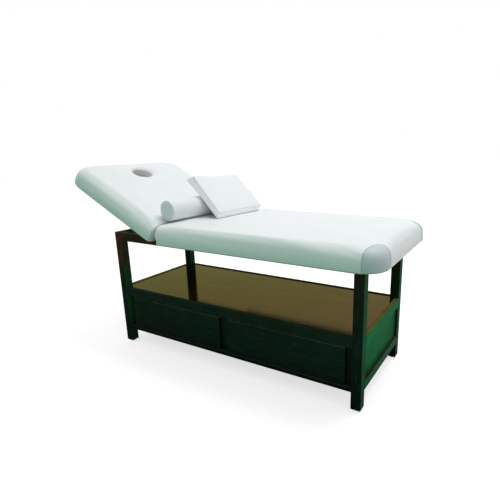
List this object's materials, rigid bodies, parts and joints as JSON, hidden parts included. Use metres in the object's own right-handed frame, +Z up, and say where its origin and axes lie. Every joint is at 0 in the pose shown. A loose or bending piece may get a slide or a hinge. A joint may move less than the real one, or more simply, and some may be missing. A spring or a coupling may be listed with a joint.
{
  "type": "spa bed with cabinet base",
  "caption": "Padded treatment bed with a raised backrest and face hole, loose bolster and pillow, on a wooden frame with open shelf and drawer cabinet.",
  "frame": {"origin": "the middle of the whole bed's footprint, on the floor, with the backrest as pictured", "axes": "+X along the bed towards the foot end, +Y across it away from the drawer fronts, +Z up"},
  "size_m": [1.8604, 0.8, 1.0702],
  "materials": {
    "green_lacquer": "dark bottle-green lacquer, satin gloss",
    "foot_panel_lacquer": "green lacquer, satin gloss, lit at the foot end",
    "shelf_lacquer": "olive-brown lacquer, satin gloss",
    "cabinet_wood": "clear-coated birch plywood",
    "plywood": "raw plywood",
    "white_leatherette": "fine-grained white leatherette",
    "zinc_steel": "zinc-plated steel",
    "knob_plastic": "black moulded plastic",
    "glide_plastic": "dark nylon"
  },
  "bodies": {
    "base": {"post_head_front": "green_lacquer", "post_head_back": "green_lacquer", "post_foot_front": "green_lacquer", "post_foot_back": "green_lacquer", "top_rail_front": "green_lacquer", "top_rail_back": "green_lacquer", "top_rail_head": "green_lacquer", "top_rail_foot": "green_lacquer", "cabinet_rail_front": "green_lacquer", "cabinet_rail_back": "green_lacquer", "cabinet_rail_head": "green_lacquer", "cabinet_rail_foot": "green_lacquer", "bottom_rail_front": "green_lacquer", "bottom_rail_back": "green_lacquer", "bottom_rail_head": "green_lacquer", "bottom_rail_foot": "green_lacquer", "front_stile_head": "green_lacquer", "front_stile_centre": "green_lacquer", "front_stile_foot": "green_lacquer", "back_panel": "green_lacquer", "end_panel_head": "green_lacquer", "hinge_bearer": "green_lacquer", "pad_bearers": "green_lacquer", "end_panel_foot": "foot_panel_lacquer", "shelf_board": "shelf_lacquer", "shelf_cleats": "cabinet_wood", "cabinet_floor": "cabinet_wood", "cabinet_partition": "cabinet_wood", "drawer_runners": "cabinet_wood", "main_pad_board": "plywood", "main_cushion": "white_leatherette", "pivot_bracket_front": "zinc_steel", "pivot_bracket_back": "zinc_steel", "pivot_pin_front": "zinc_steel", "pivot_pin_back": "zinc_steel", "clamp_stud_front": "zinc_steel", "clamp_stud_back": "zinc_steel", "foot_glides": "glide_plastic"},
    "backrest": {"backrest_board": "plywood", "backrest_cushion": "white_leatherette", "quadrant_front": "zinc_steel", "quadrant_back": "zinc_steel", "board_angle_front": "zinc_steel", "board_angle_back": "zinc_steel"},
    "rest_cushions": {"bolster": "white_leatherette", "pillow": "white_leatherette"},
    "drawer_head": {"drawer_head_front": "green_lacquer", "drawer_head_side_outer": "cabinet_wood", "drawer_head_side_inner": "cabinet_wood", "drawer_head_back": "cabinet_wood", "drawer_head_bottom": "cabinet_wood"},
    "drawer_foot": {"drawer_foot_front": "green_lacquer", "drawer_foot_side_outer": "cabinet_wood", "drawer_foot_side_inner": "cabinet_wood", "drawer_foot_back": "cabinet_wood", "drawer_foot_bottom": "cabinet_wood"},
    "knob_front": {"clamp_knob_front": "knob_plastic"},
    "knob_back": {"clamp_knob_back": "knob_plastic"}
  },
  "joints": [
    {"name": "backrest_tilt", "type": "hinge", "parent": "base", "child": "backrest", "pos_m": [-0.26328, 0, 0.75], "axis": [0, 1, 0], "range_deg": [-26.5, 23.5]},
    {"name": "cushions_follow", "type": "slide", "parent": "base", "child": "rest_cushions", "axis": [1, 0, 0], "range_m": [-0.026, 0.023]},
    {"name": "drawer_head_slide", "type": "slide", "parent": "base", "child": "drawer_head", "axis": [0, -1, 0], "range_m": [0, 0.38]},
    {"name": "drawer_foot_slide", "type": "slide", "parent": "base", "child": "drawer_foot", "axis": [0, -1, 0], "range_m": [0, 0.38]},
    {"name": "knob_front_turn", "type": "hinge", "parent": "base", "child": "knob_front", "pos_m": [-0.30541, -0.26, 0.65964], "axis": [0, 1, 0], "range_deg": [0, 180]},
    {"name": "knob_back_turn", "type": "hinge", "parent": "base", "child": "knob_back", "pos_m": [-0.30541, 0.26, 0.65964], "axis": [0, 1, 0], "range_deg": [0, 180]}
  ],
  "couplings": [
    {"joint": "cushions_follow", "follows": "backrest_tilt", "m_per_rad": 0.055}
  ]
}
